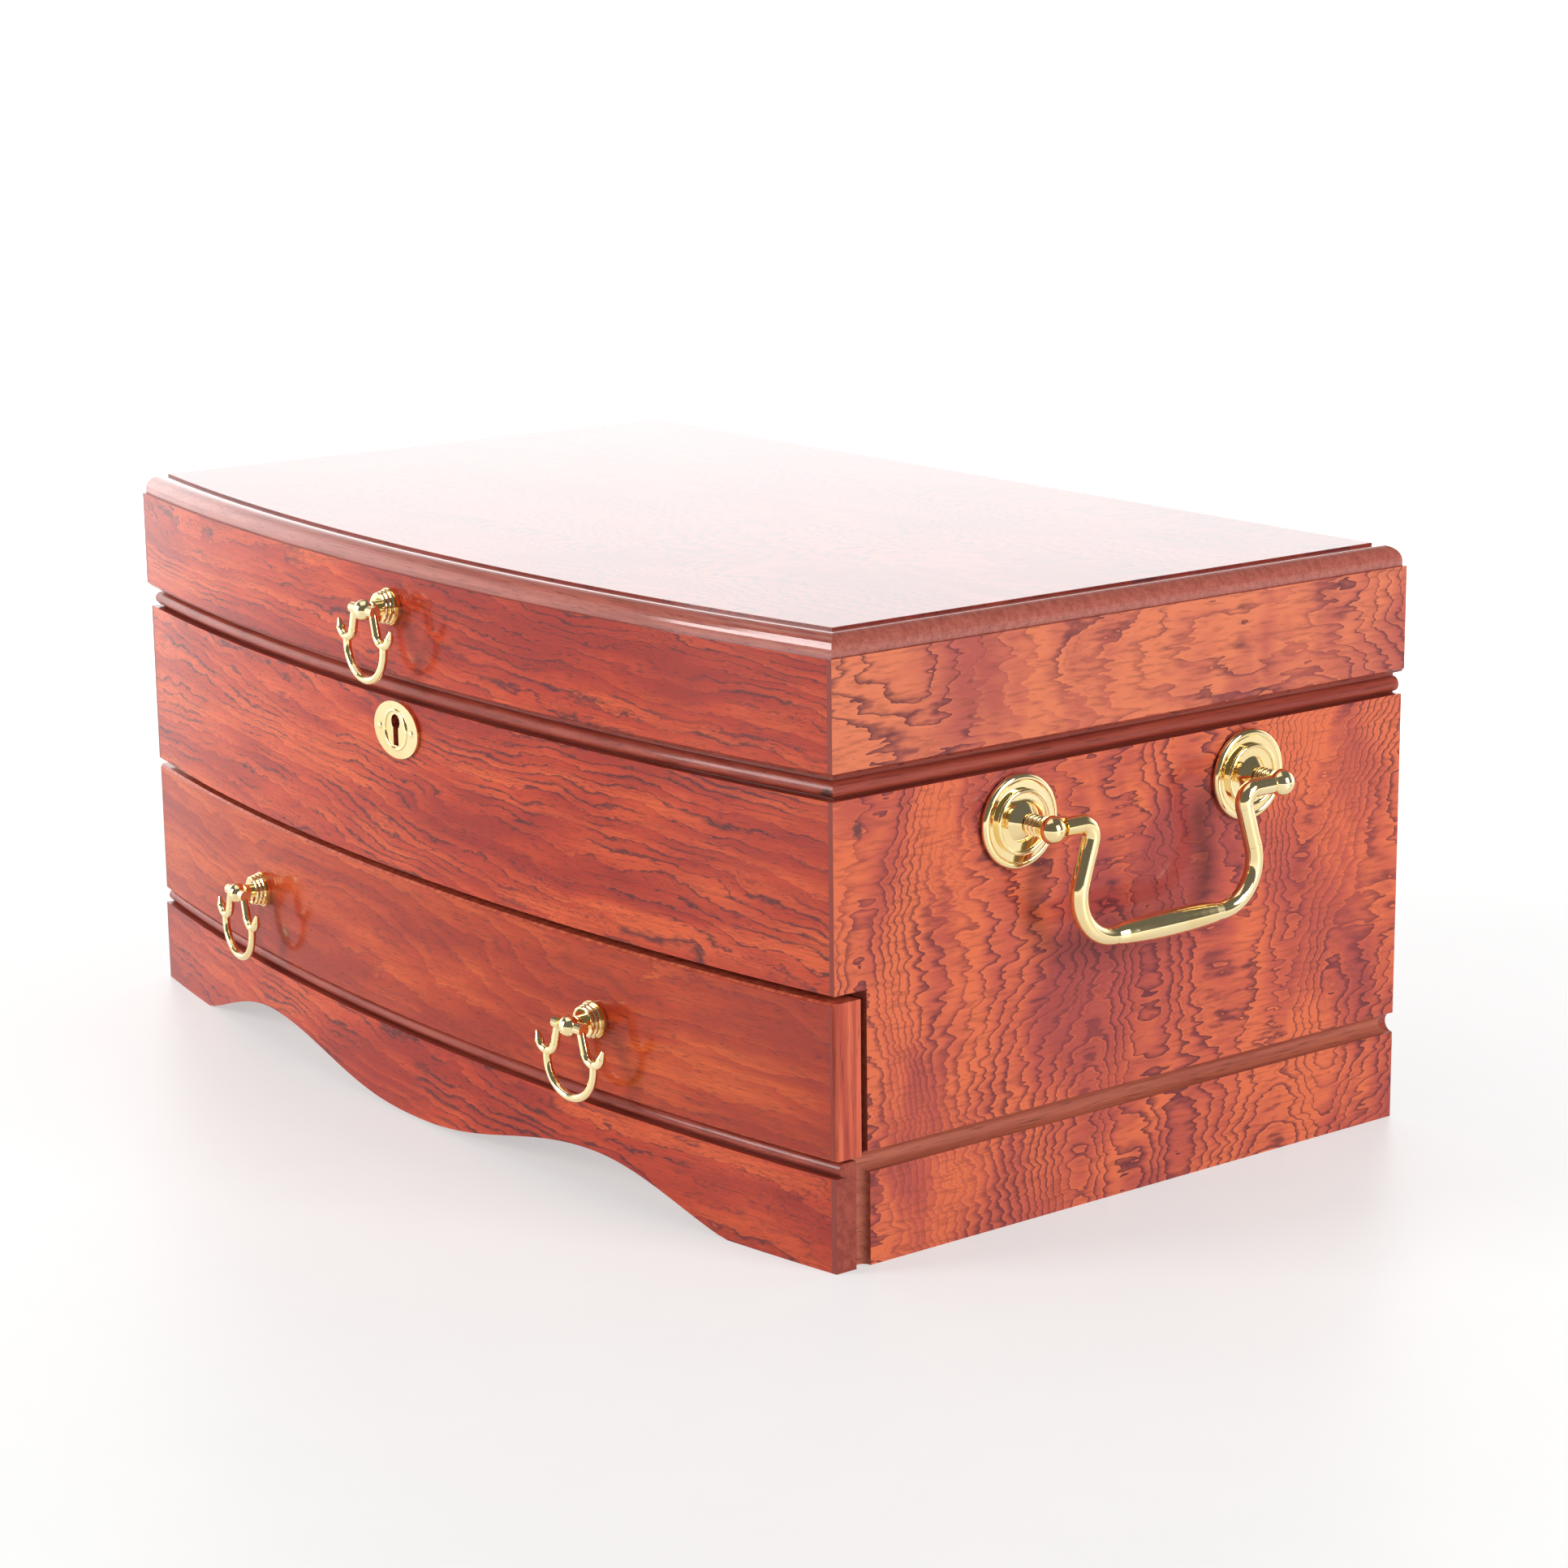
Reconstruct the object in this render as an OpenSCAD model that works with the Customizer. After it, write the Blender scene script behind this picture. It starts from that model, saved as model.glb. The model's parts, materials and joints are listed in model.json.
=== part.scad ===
// Bow-fronted jewellery chest: hinged lid over a lined compartment, with one drawer below it.
// X runs to the right, Y to the back and Z up. The origin is on the floor, under the middle of the chest.

/* [Case] */
// Width over the side panels
case_w = 400; // [330:1:480]
// Depth of the side panels, from the back to the front corner
case_d = 228.5; // [190:0.5:280]
// How far the front bows out at its middle
bow = 19.2; // [14:0.1:26]
// Thickness of the side panels
side_t = 10; // [9:0.5:12]
// Thickness of the upper front panel
front_t = 10; // [9.5:0.5:13]
// Thickness of the back panel
back_t = 10; // [10:0.5:13]
// Height of the base below its bead
base_h = 28.7; // [25:0.1:36]
// Thickness of the base apron
apron_t = 7.2; // [6:0.1:9]
// Radius of the bead on top of the apron
base_bead_r = 2.05; // [1.6:0.05:2.6]
// Height of the upper front panel below its bead
panel_h = 56.6; // [50:0.1:80]
// Radius of the bead round the rim
rim_bead_r = 2.5; // [1.8:0.1:3]
// Flat rim above the bead
rim_land = 1.5; // [1:0.1:3]
// How far both beads stand back from the face
bead_inset = 1.2; // [0.6:0.1:2]
// Radius of the cove that runs along each side
cove_r = 3.25; // [2:0.05:4]
// Radius of the upright cove between apron and side
corner_cove_r = 2.7; // [1.6:0.1:3.2]

/* [Apron arches] */
// Length of the flat foot at each end
foot_w = 43; // [30:1:60]
// Distance from the foot to the top of the arch
arch_rise_w = 60; // [40:1:75]
// Height of the arches
arch_h = 14; // [8:0.5:18]
// Height of the middle of the apron above the floor
drop_z = 1.2; // [0.5:0.1:4]

/* [Drawer] */
// Height of the drawer front
drawer_h = 47.2; // [40:0.1:65]
// Thickness of the drawer front
drawer_front_t = 9.3; // [8:0.1:11]
// Gap under the drawer front
drawer_lift = 0.8; // [0.5:0.1:2]
// Gap over the drawer front and behind its ends
drawer_reveal = 2.4; // [1.5:0.1:4]
// Thickness of the drawer box's sides and back
drawer_side_t = 7; // [5:0.5:9]
// Thickness of the drawer's bottom board
drawer_bottom_t = 3; // [2:0.5:5]
// Clearance between the drawer box and what it slides between
slide_gap = 0.8; // [0.4:0.1:1.5]
// Length of the stop blocks behind the drawer
stop_l = 8; // [5:0.5:15]

/* [Compartment] */
// Thickness of the bottom panel
bottom_t = 8; // [5:0.5:10]
// Thickness of the compartment floor
floor_t = 6; // [4:0.5:9]
// Thickness of the inner lip boards
lip_t = 4; // [3:0.5:6]
// How far the lip stands above the rim
lip_rise = 6; // [3:0.5:9]
// Clearance between the lip and the lid
lip_gap = 1; // [0.8:0.1:1.5]
// Thickness of the linings
lining_t = 1.5; // [1:0.1:2]
// Thickness of the dividers
divider_t = 3; // [2:0.5:5]
// Height of the dividers
divider_h = 32; // [20:1:40]
// Depth of the row of compartments at the back
back_bay_d = 100; // [70:1:120]
// Width of the middle compartment of that row
back_bay_w = 124; // [80:1:160]
// Width of the bay that holds the ring rolls
roll_bay_w = 188; // [120:1:220]
// Radius of a ring roll
roll_r = 10; // [7:0.5:11]

/* [Lid] */
// Height of the lid's rails
lid_h = 34; // [26:0.5:50]
// How far the lid overhangs the case at the sides and front
lid_over = 1; // [0.5:0.1:2]
// Gap between the rim and the closed lid
lid_gap = 0.3; // [0.2:0.1:1]
// Radius of the quarter round on the lid's edge
edge_r = 4.8; // [3:0.1:6]
// Thickness of the veneer on the lid
veneer_t = 0.8; // [0.5:0.1:1.5]
// Width of the mirror
mirror_w = 260; // [160:1:280]
// Depth of the mirror
mirror_d = 130; // [90:1:150]

/* [Hardware] */
// Half the distance between the posts of a carrying handle
post_half = 46.2; // [35:0.1:60]
// Height of the handle posts below the top of the face
post_drop = 15.7; // [15.2:0.1:20]
// Radius of a rosette
rosette_r = 14.3; // [11:0.1:15]
// Radius of the ball at the end of a handle post
ball_r = 4.2; // [3.6:0.1:5]
// Distance of the ball's middle from the side panel
ball_out = 15.5; // [14:0.1:20]
// Radius of the handle's legs
bail_r = 2.8; // [2.2:0.1:3]
// Radius of the handle's grip
grip_r = 4.1; // [3:0.1:4.4]
// How far the grip hangs below its pivots
bail_drop = 36; // [34:0.5:46]
// Half the distance between the drawer's two pulls
pull_half = 100.3; // [60:0.1:130]
// Distance of a pull's ring from the surface
pull_out = 10; // [9:0.1:13]
// Radius of a pull's ring
ring_r = 11; // [9.5:0.1:13]
// Width of the keyhole plate
plate_w = 26; // [22:0.5:30]
// Height of the keyhole plate
plate_h = 18.6; // [16:0.2:20]
// Length of a hinge
hinge_l = 30; // [24:1:40]
// Distance of each hinge from the middle of the chest
hinge_x = 120; // [90:1:140]
// Angle at which the hinges stop the lid
lid_stop = 97; // [90:1:105]

/* [Hidden] */

$fn = 48;
arc_fn = 720;         // for arcs as large as the bowed front
eps = 0.01;
far = 40;             // how far cutting shapes reach past what they cut
rosewood = "#a5402b";
mahogany = "#6b2a1c";
suede = "#3a3f63";
gold = "#e2bb55";

// Heights, from the floor up
bead_quirk = 0.3;     // groove between a face and the bead above it
bead_fn = 40;
base_top = base_h + bead_quirk + 2 * base_bead_r;
drawer_z0 = base_top + drawer_lift;
drawer_z1 = drawer_z0 + drawer_h;
opening_top = drawer_z1 + drawer_reveal;
face_top = opening_top + panel_h;
rim_z = face_top + bead_quirk + 2 * rim_bead_r + rim_land;
floor_z0 = opening_top + 1;
floor_z1 = floor_z0 + floor_t;
lining_z1 = floor_z1 + lining_t;
lip_top = rim_z + lip_rise;
lid_z0 = rim_z + lid_gap;
lid_z1 = lid_z0 + lid_h;
edge_step = 1;        // ledge under the lid's quarter round
edge_flat = 1.6;      // upright between that ledge and the quarter round
edge_land = 2;        // ledge between the quarter round and the veneer
edge_raise = 0.06;    // of the sides' edges over the front's, and of the back's over the sides'
board_top = lid_z1 + edge_flat + edge_r;
lid_top = board_top + veneer_t;

// The chest's box runs from the lid pull's head to the hinge stops, with the origin midway
pull_head_r = 3.4;
front_reach = lid_over + pull_out + pull_head_r;
barrel_r = 2.2;
barrel_gap = 0.2;     // between a hinge barrel and the back of the chest
stop_reach = 6;       // of a hinge's stop, from the pin
hinge_reach = barrel_gap + barrel_r + stop_reach * cos(lid_stop / 2);
back_y = (front_reach + bow + case_d + hinge_reach) / 2 - hinge_reach;
corner_y = back_y - case_d;
front_y = corner_y - bow;

// The bowed front is part of a cylinder about an upright axis behind the chest
bow_r = (bow * bow + case_w * case_w / 4) / (2 * bow);
axis_y = front_y + bow_r;
function bow_y(x, inset) = axis_y - sqrt(pow(bow_r - inset, 2) - x * x);
wedge_a = atan((case_w / 2 + far) / (axis_y - back_y));
reach = case_d + bow + far;

// Inside of the case
in_x = case_w / 2 - side_t;
in_back = back_y - back_t;
in_corner_y = bow_y(in_x, front_t);
notch_y = corner_y + drawer_front_t + drawer_reveal;
cove_z = base_h + 0.94 * cove_r;
corner_cove_y = corner_y + apron_t + corner_cove_r;

// Inside of the lip boards
cell_x = in_x - lip_t;
cell_back = in_back - lip_t;
cell_inset = front_t + lip_t;
long_div_y1 = cell_back - back_bay_d;
long_div_y0 = long_div_y1 - divider_t;

// Drawer box
box_z0 = base_top + slide_gap / 2;
box_z1 = drawer_z1 - 6;
box_x = in_x - slide_gap;
box_back = in_back - stop_l - slide_gap / 4;
box_floor = box_z0 + 1.6;

// Lid
lid_x = case_w / 2 + lid_over;
lid_in_x = in_x + lip_gap;
lid_in_back = in_back + lip_gap;
lid_in_inset = front_t - lip_gap;
lid_in_mid_y = (bow_y(0, lid_in_inset) + lid_in_back) / 2;
mirror_t = 3;
frame_b = 8;          // width of the mirror frame's moulding
frame_t = mirror_t + 2;
frame_lap = 3;        // of the frame over the mirror

// Lock, in a pocket behind the upper front panel
lock_w = 44;
lock_h = 24;
lock_wall = 0.7;
flange_w = 52;
flange_t = 1.2;
flange_strip = 0.6;   // wood left between the rim bead and the lock's flange
flange_y0 = bow_y(flange_w / 2, 0) + bead_inset + rim_bead_r + flange_strip;
lock_y0 = flange_y0 + 0.2;
lock_y1 = front_y + front_t - 0.4;
lock_mid_y = (lock_y0 + lock_y1) / 2;
web_t = lock_y0 - front_y;
link_l = 30;          // length of the link plate
hook_x = 9;
hook_t = 1.5;
hook_w = 2.6;
hook_hole_z = rim_z - 6.6;
bolt_t = 1.6;
bolt_travel = 5;
fit_gap = 0.05;       // radial clearance of pins, stems and screws in their holes
free_gap = 0.3;       // clearance between pieces that pass each other

// Keyhole
plate_z = face_top - plate_h / 2 - 0.5;
plate_t = 1;
key_head_r = 2.5;
key_slot_w = 3;
key_h = 10.2;
pin_x = plate_w * 0.36;

// Carrying handles, hung on the balls of their posts
post_z = face_top - post_drop;
post_mid_y = (corner_y + back_y) / 2;
boss_out = 6;         // top of a rosette's boss
stem_r = 2;
stem_l = 8;
pivot_r = 1.5;
pivot_l = 3;
shoulder_l = 6.8;     // straight part of the handle beside each ball
elbow_r = 4.2;
lean = 17;            // the legs lean outwards, degrees
lower_r = 14;
leg_l = (bail_drop - elbow_r * (1 + sin(lean)) - lower_r * (1 + sin(lean))) / cos(lean);
bail_start = post_half - ball_r - 0.15;
grip_half = bail_start - shoulder_l - elbow_r * cos(lean) + leg_l * sin(lean) - lower_r * cos(lean);

// Drop pulls
pull_plate_r = 6;
plate_base = 1.2;     // height of a pull plate's base
plate_bead_r = 0.65;
pull_neck = plate_base + 6 * plate_bead_r;
pull_pin_r = 0.95;
collar_swell = 0.06;  // the sleeves over a rod's joints stand this proud
collar_l = 0.8;
pull_pin_l = 1.4;
eye_r = 1.9;
wire_r = 1.4;
lid_pull_z = lid_z0 + 23.2;
drawer_pull_z = drawer_z0 + 22.6;
pull_a = asin(pull_half / bow_r);

// Hinges
leaf_t = 1.2;
leaf_w = 8;
hinge_pin_r = 1;
knuckle_gap = 0.3;
knuckle_l = (hinge_l - 2 * knuckle_gap) / 3;
hinge_y = back_y + barrel_gap + barrel_r;
hinge_z = rim_z + lid_gap / 2;
screw_x = hinge_l * 0.3;
screw_r = 1;
screw_head_r = 1.9;
screw_l = 9;

// ---- Outlines and cutting shapes ----

function oval(rx, ry, n = 48) = [for (i = [0:n - 1]) [rx * cos(360 * i / n), ry * sin(360 * i / n)]];

// Half a profile: the face is the line x = 0 and the wood lies on its left
module bead(z, r, land) {
    neck = bead_inset + r;
    translate([-reach, z]) square([reach - neck, bead_quirk + 2 * r + land]);
    translate([-neck, z + bead_quirk + r]) polygon(oval(r, r, bead_fn));
}

module rim_bead() bead(face_top, rim_bead_r, rim_land);

module side_profile() {
    difference() {
        translate([-reach, 0]) square([reach, face_top]);
        translate([0, cove_z]) circle(cove_r);
    }
    rim_bead();
}

module front_profile() {
    translate([-reach, 0]) square([reach, base_h]);
    bead(base_h, base_bead_r, 0);
    translate([-reach, base_top]) square([reach, face_top - base_top]);
    rim_bead();
}

// Raised by a hair from side to side, so that no two meet at the same height in a mitre
module edge_profile(raise) {
    steps = 8;
    past = 50 * raise;
    middle = [-edge_step - edge_r, lid_z1 + edge_flat + raise];
    round = [for (i = [0:steps]) middle + edge_r * [cos(90 * i / steps), sin(90 * i / steps)]];
    polygon(concat([[-reach, lid_z1 - past], [-edge_step, lid_z1 - past]], round, [[-reach, board_top + raise]]));
}

// A lid rail's face, chamfered below
module rail_profile() {
    chamfer = 1.3;
    polygon([[-reach, lid_z0], [-chamfer, lid_z0], [0, lid_z0 + chamfer], [0, lid_z1], [-reach, lid_z1]]);
}

// A profile on both sides, w apart, carried along Y
module along_sides(w) {
    translate([0, back_y + far, 0]) rotate([90, 0, 0]) linear_extrude(reach + 2 * far)
        for (s = [0, 1]) mirror([s, 0]) translate([w / 2, 0]) intersection() {
            children();
            translate([-w / 2 - 1, 0]) square([w / 2 + 1, lid_top + far]);
        }
}

// A profile carried round the bow, grown by over
module along_bow(over) {
    translate([0, axis_y, 0]) rotate([0, 0, -90 - wedge_a]) rotate_extrude(angle = 2 * wedge_a, $fn = arc_fn)
        translate([bow_r + over, 0]) children();
}

// A profile carried along the back
module along_back() {
    translate([-case_w / 2 - far, back_y, 0]) rotate([90, 0, 90]) linear_extrude(case_w + 2 * far) children();
}

module slab(x0, x1, y0, y1, z0, z1) {
    translate([x0, y0, z0]) cube([x1 - x0, y1 - y0, z1 - z0]);
}

// Everything inside the bow at a given inset, between two heights
module inside_bow(inset, z0, z1) {
    translate([0, axis_y, z0]) cylinder(r = bow_r - inset, h = z1 - z0, $fn = arc_fn);
}

// A board or hollow with straight sides and back and a bowed front
module bowed(x, back, inset, z0, z1) {
    intersection() {
        slab(-x, x, front_y - far, back, z0, z1);
        inside_bow(inset, z0, z1);
    }
}

// What lies in front of the mitres at the front corners
module front_mitre(xo, yo, xi, yi, z0, z1) {
    k = 3;
    xe = xi + k * (xo - xi);
    ye = yi + k * (yo - yi);
    translate([0, 0, z0]) linear_extrude(z1 - z0)
        polygon([[-xi, yi], [xi, yi], [xe, ye], [xe, ye - 2 * far], [-xe, ye - 2 * far], [-xe, ye]]);
}

// What lies behind the mitres at the back corners
module back_mitre(xo, yo, xi, yi, z0, z1) {
    k = 3;
    xe = xi + k * (xo - xi);
    ye = yi + k * (yo - yi);
    translate([0, 0, z0]) linear_extrude(z1 - z0)
        polygon([[-xi, yi], [xi, yi], [xe, ye], [xe, ye + far], [-xe, ye + far], [-xe, ye]]);
}

module case_front_zone(z0) front_mitre(case_w / 2, corner_y, in_x, in_corner_y, z0, lid_top);
module case_back_zone() back_mitre(case_w / 2, back_y, in_x, in_back, -far, lid_top);
module lip_front_zone() front_mitre(in_x, in_corner_y, cell_x, bow_y(cell_x, cell_inset), 0, lid_top);
module lip_back_zone() back_mitre(in_x, in_back, cell_x, cell_back, 0, lid_top);
module lid_front_zone() {
    front_mitre(lid_x, bow_y(lid_x, -lid_over), lid_in_x, bow_y(lid_in_x, lid_in_inset), 0, lid_z1);
}

module lid_back_zone() back_mitre(lid_x, back_y, lid_in_x, lid_in_back, 0, lid_z1);

// Places drawn with +Z away from the surface and +Y up
module on_bow(a, z, over = 0) {
    translate([0, axis_y, z]) rotate([0, 0, a]) translate([0, -bow_r - over, 0]) rotate([90, 0, 0]) children();
}

module on_side(side) {
    mirror([side < 0 ? 1 : 0, 0, 0]) translate([case_w / 2, post_mid_y, post_z]) rotate([90, 0, 90]) children();
}

module both_posts() for (s = [-1, 1]) translate([s * post_half, 0, 0]) children();
module both_hinges() for (s = [-1, 1]) translate([s * hinge_x, 0, 0]) children();
module both_pulls() for (s = [-1, 1]) on_bow(s * pull_a, drawer_pull_z) children();

// ---- Case ----

module case_block() {
    intersection() {
        along_sides(case_w) side_profile();
        slab(-case_w, case_w, front_y - far, back_y, 0, rim_z);
    }
}

// The cuts at its front end run into each other by an overlap
module side_panel(side) {
    overlap = 5;
    color(rosewood) difference() {
        intersection() {
            case_block();
            mirror([side < 0 ? 1 : 0, 0, 0]) slab(in_x, case_w, front_y - far, back_y + far, 0, rim_z);
        }
        case_front_zone(opening_top - overlap);
        case_back_zone();
        slab(-case_w, case_w, front_y - far, notch_y, base_top, opening_top);
        difference() {
            slab(-case_w, case_w, front_y - far, notch_y - 1, -far, base_top + overlap);
            inside_bow(apron_t, -2 * far, opening_top);
        }
        translate([side * case_w / 2, corner_cove_y, -far]) cylinder(r = corner_cove_r, h = far + cove_z);
        on_side(side) both_posts() translate([0, 0, -stem_l]) cylinder(r = stem_r + fit_gap, h = far);
    }
}

module left_side_panel() side_panel(-1);
module right_side_panel() side_panel(1);

module keyhole(h) {
    translate([0, key_h / 2 - key_head_r, 0]) cylinder(r = key_head_r, h = h);
    translate([-key_slot_w / 2, -key_h / 2, 0]) cube([key_slot_w, key_h - key_head_r, h]);
}

module front_panel() {
    color(rosewood) difference() {
        intersection() {
            along_bow(0) front_profile();
            case_front_zone(opening_top);
        }
        inside_bow(front_t, -far, lid_top);
        slab(-lock_w / 2, lock_w / 2, lock_y0, lock_y1 + far, rim_z - lock_h, rim_z + far);
        slab(-flange_w / 2, flange_w / 2, flange_y0, lock_y1 + far, rim_z - flange_t, rim_z + far);
        on_bow(0, plate_z) translate([0, 0, -web_t - far / 2]) keyhole(far);
        on_bow(0, plate_z) for (s = [-1, 1])
            translate([s * pin_x, 0, -web_t + 1]) cylinder(r = 0.6 + fit_gap, h = far);
    }
}

module back_panel() {
    color(mahogany) difference() {
        intersection() {
            case_block();
            case_back_zone();
        }
        both_hinges() {
            slab(-hinge_l / 2, hinge_l / 2, back_y - leaf_w, back_y + far, rim_z - leaf_t, rim_z + far);
            hinge_screw_places() translate([0, 0, -screw_l - fit_gap]) cylinder(r = screw_r + fit_gap, h = far);
        }
    }
}

// Underside of the apron: a flat foot, a short rise to the arch, then a long fall to the middle
function arch_z(x) =
    let (peak = case_w / 2 - foot_w - arch_rise_w)
    x > peak
        ? arch_h * pow(sin(90 * (case_w / 2 - foot_w - x) / arch_rise_w), 1.25)
        : drop_z + (arch_h - drop_z) * pow((1 - cos(180 * x / peak)) / 2, 1.2);

module arch_outline() {
    foot_x = case_w / 2 - foot_w;
    steps = 36;
    half = [for (i = [0:steps]) let (x = foot_x * (1 - i / steps)) [x, max(arch_z(x), eps)]];
    polygon(concat([[foot_x, -far]], half, [for (i = [steps - 1:-1:0]) [-half[i][0], half[i][1]]], [[-foot_x, -far]]));
}

module base_apron() {
    color(rosewood) difference() {
        intersection() {
            along_bow(0) front_profile();
            slab(-case_w / 2, case_w / 2, front_y - far, notch_y, 0, base_top);
        }
        inside_bow(apron_t, -far, rim_z);
        translate([0, notch_y + far, 0]) rotate([90, 0, 0]) linear_extrude(3 * far) arch_outline();
    }
}

module bottom_panel() {
    color(mahogany) bowed(in_x, in_back, apron_t, base_top - bottom_t, base_top);
}

module drawer_stops() {
    stop_w = 20;
    stop_h = 12;
    color(mahogany) for (s = [-1, 1]) translate([s * in_x * 0.6, 0, 0])
        slab(-stop_w / 2, stop_w / 2, in_back - stop_l, in_back, base_top, base_top + stop_h);
}

module compartment_floor() {
    color(mahogany) bowed(in_x, in_back, front_t, floor_z0, floor_z1);
}

module lip_front() {
    color(mahogany) difference() {
        intersection() {
            bowed(in_x, in_back, front_t, floor_z1, lip_top);
            lip_front_zone();
        }
        inside_bow(cell_inset, floor_z1 - far, lip_top + far);
    }
}

module lip_back() {
    color(mahogany) intersection() {
        slab(-in_x, in_x, cell_back - far, in_back, floor_z1, lip_top);
        lip_back_zone();
    }
}

module lip_side(side) {
    color(mahogany) mirror([side < 0 ? 1 : 0, 0, 0]) difference() {
        slab(cell_x, in_x, front_y - far, in_back, floor_z1, lip_top);
        lip_front_zone();
        lip_back_zone();
    }
}

module lip_left() lip_side(-1);
module lip_right() lip_side(1);

module compartment_lining() {
    color(suede) bowed(cell_x, cell_back, cell_inset, floor_z1, lining_z1);
}

module long_divider() {
    color(suede) slab(-cell_x, cell_x, long_div_y0, long_div_y1, lining_z1, lining_z1 + divider_h);
}

module front_dividers() {
    color(suede) intersection() {
        for (s = [-1, 1]) translate([s * (roll_bay_w + divider_t) / 2, 0, 0])
            slab(-divider_t / 2, divider_t / 2, front_y - far, long_div_y0, lining_z1, lining_z1 + divider_h);
        inside_bow(cell_inset, 0, lid_top);
    }
}

module back_dividers() {
    color(suede) for (s = [-1, 1]) translate([s * (back_bay_w + divider_t) / 2, 0, 0])
        slab(-divider_t / 2, divider_t / 2, long_div_y1, cell_back, lining_z1, lining_z1 + divider_h);
}

// Padded rolls lie side by side, flattened a little where they rest
module ring_roll(i) {
    flat = 0.8;
    pitch = (long_div_y0 - bow_y(roll_bay_w / 2, cell_inset)) / 5;
    color(suede) intersection() {
        translate([-roll_bay_w / 2 + 1.5, long_div_y0 - (i - 0.5) * pitch, lining_z1 + roll_r - flat])
            rotate([0, 90, 0]) cylinder(r = roll_r, h = roll_bay_w - 3);
        slab(-case_w, case_w, front_y, back_y, lining_z1, lid_top);
    }
}

// ---- Lock and keyhole ----

module lock_case() {
    slot = hook_t + 2 * free_gap;
    color(gold) difference() {
        union() {
            slab(-lock_w / 2, lock_w / 2, lock_y0, lock_y1, rim_z - lock_h, rim_z - flange_t);
            slab(-flange_w / 2, flange_w / 2, flange_y0, lock_y1, rim_z - flange_t, rim_z);
        }
        slab(-lock_w / 2 + lock_wall, lock_w / 2 - lock_wall, lock_y0 + lock_wall, lock_y1 - lock_wall,
            rim_z - lock_h + lock_wall, rim_z - flange_t);
        for (s = [-1, 1]) translate([s * hook_x, lock_mid_y, rim_z])
            cube([slot, hook_w + 3 * free_gap, 3 * flange_t], center = true);
        on_bow(0, plate_z) translate([0, 0, -web_t - lock_wall - eps]) keyhole(2 * lock_wall);
    }
    color(gold) on_bow(0, plate_z + key_h / 2 - key_head_r)
        translate([0, 0, front_y - lock_y1 + lock_wall / 2]) cylinder(r = 1, h = lock_y1 - lock_y0 - lock_wall);
}

// A bar with two fingers that slide through the link plate's hooks
module lock_bolt() {
    finger = bolt_travel + 0.7;
    finger_h = 2.4;
    post = 2;
    bar_z = plate_z + key_h / 2 + 0.6;
    bar_h = 1.5;
    color(gold) translate([0, lock_mid_y - bolt_t / 2, 0]) {
        slab(-hook_x - hook_t / 2 - free_gap - finger - post, hook_x, 0, bolt_t, bar_z, bar_z + bar_h);
        for (s = [-1, 1]) translate([s * hook_x - hook_t / 2 - free_gap - finger, 0, 0]) {
            slab(-post, 0, 0, bolt_t, bar_z, hook_hole_z + finger_h / 2);
            slab(0, finger, 0, bolt_t, hook_hole_z - finger_h / 2, hook_hole_z + finger_h / 2);
        }
    }
}

module link_plate() {
    hook_l = 9;
    color(gold) {
        slab(-link_l / 2, link_l / 2, flange_y0, lock_mid_y + hook_w / 2, lid_z0, lid_z0 + flange_t);
        for (s = [-1, 1]) translate([s * hook_x, lock_mid_y, 0]) difference() {
            slab(-hook_t / 2, hook_t / 2, -hook_w / 2, hook_w / 2, rim_z - hook_l, lid_z0);
            translate([0, 0, hook_hole_z]) cube([far, bolt_t + 2 * free_gap, 3], center = true);
        }
    }
}

module keyhole_plate() {
    ring = 6.4;
    color(gold) on_bow(0, plate_z) difference() {
        union() {
            linear_extrude(plate_t) polygon(oval(plate_w / 2, plate_h / 2));
            translate([0, 0, plate_t]) rotate_extrude() translate([ring, 0]) circle(0.5, $fn = 16);
        }
        translate([0, 0, -eps]) keyhole(3 * plate_t);
        for (s = [-1, 1]) translate([s * pin_x, 0, -eps]) cylinder(r = 0.6 + fit_gap, h = 3 * plate_t);
    }
}

module keyhole_pins() {
    color(gold) on_bow(0, plate_z) for (s = [-1, 1]) translate([s * pin_x, 0, 0]) {
        translate([0, 0, -web_t + 1.5]) cylinder(r = 0.6, h = web_t - 1.5 + plate_t);
        translate([0, 0, plate_t]) intersection() {
            translate([0, 0, -0.9]) sphere(1.5);
            cylinder(r = 2, h = 2);
        }
    }
}

// ---- Carrying handles ----

// Turned pieces: half of a section, spun about its axis
module turned() {
    rotate_extrude() intersection() {
        translate([0, -far]) square([far, 2 * far]);
        children();
    }
}

module rosette() {
    rim = 1.3;
    disc_t = 3.2;
    difference() {
        turned() {
            square([rosette_r - rim, 2 * rim - 0.4]);
            translate([rosette_r - rim, rim]) circle(rim, $fn = 24);
            square([rosette_r * 0.7, disc_t]);
            translate([rosette_r * 0.65, disc_t]) circle(0.7, $fn = 16);
            polygon([[0, 0], [rosette_r * 0.45, 0], [rosette_r * 0.42, disc_t], [3.2, boss_out], [0, boss_out]]);
        }
        translate([0, 0, -1]) cylinder(r = stem_r + fit_gap, h = boss_out + 2);
    }
}

module rosettes(side) color(gold) on_side(side) both_posts() rosette();
module left_rosettes() rosettes(-1);
module right_rosettes() rosettes(1);

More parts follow.
